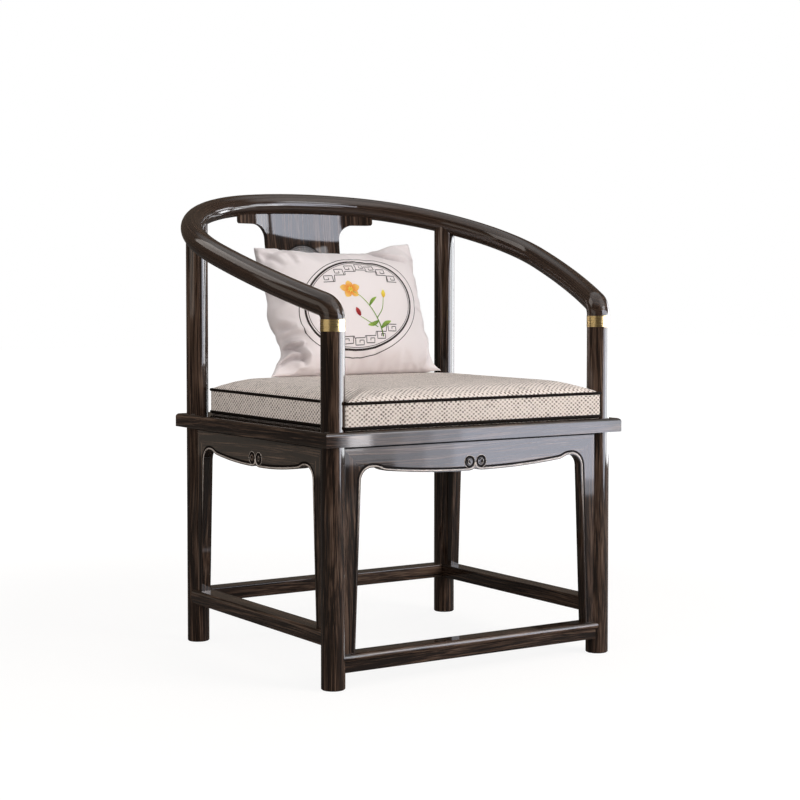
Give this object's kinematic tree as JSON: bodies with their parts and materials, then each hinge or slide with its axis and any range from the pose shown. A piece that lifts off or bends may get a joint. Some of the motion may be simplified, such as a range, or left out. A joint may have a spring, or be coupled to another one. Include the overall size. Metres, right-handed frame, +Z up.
{
  "type": "horseshoe back armchair",
  "caption": "Hardwood armchair with a horseshoe crest rail bent down onto the front posts, S-curved splat, arched aprons, low stretchers, loose seat cushion and pillow.",
  "frame": {"origin": "on the floor, under the middle of the whole chair's width and depth", "axes": "+Z up, -Y towards the front of the seat, +X towards the right arm as seen from the front"},
  "size_m": [0.7336, 0.636, 0.8355],
  "materials": {
    "dark_hardwood": "near-black brown hardwood under gloss lacquer",
    "polished_brass": "polished",
    "cushion_linen": "slubbed beige linen with dark piping",
    "pillow_satin": "pale satin with a printed oval"
  },
  "bodies": {
    "chair_frame": {"front_left_post": "dark_hardwood", "front_right_post": "dark_hardwood", "back_left_post": "dark_hardwood", "back_right_post": "dark_hardwood", "crest_rail_back": "dark_hardwood", "crest_rail_left_arm": "dark_hardwood", "crest_rail_right_arm": "dark_hardwood", "rail_wedge_pins": "dark_hardwood", "left_ferrule": "polished_brass", "right_ferrule": "polished_brass", "back_splat": "dark_hardwood", "front_frame_member": "dark_hardwood", "back_frame_member": "dark_hardwood", "left_frame_member": "dark_hardwood", "right_frame_member": "dark_hardwood", "seat_panel": "dark_hardwood", "left_seat_batten": "dark_hardwood", "right_seat_batten": "dark_hardwood", "front_apron": "dark_hardwood", "back_apron": "dark_hardwood", "left_apron": "dark_hardwood", "right_apron": "dark_hardwood", "front_left_side_board": "dark_hardwood", "front_right_side_board": "dark_hardwood", "left_front_side_board": "dark_hardwood", "left_back_side_board": "dark_hardwood", "right_front_side_board": "dark_hardwood", "right_back_side_board": "dark_hardwood", "front_stretcher": "dark_hardwood", "back_stretcher": "dark_hardwood", "left_stretcher": "dark_hardwood", "right_stretcher": "dark_hardwood"},
    "loose_cushion": {"seat_cushion": "cushion_linen"},
    "loose_pillow": {"throw_pillow": "pillow_satin"}
  },
  "joints": [
    {"name": "cushion_lift", "type": "slide", "parent": "chair_frame", "child": "loose_cushion", "axis": [0, 0, 1], "range_m": [0, 0.03]},
    {"name": "pillow_pull", "type": "slide", "parent": "loose_cushion", "child": "loose_pillow", "axis": [0, -0.8, 0.6], "range_m": [0, 0.15]}
  ]
}
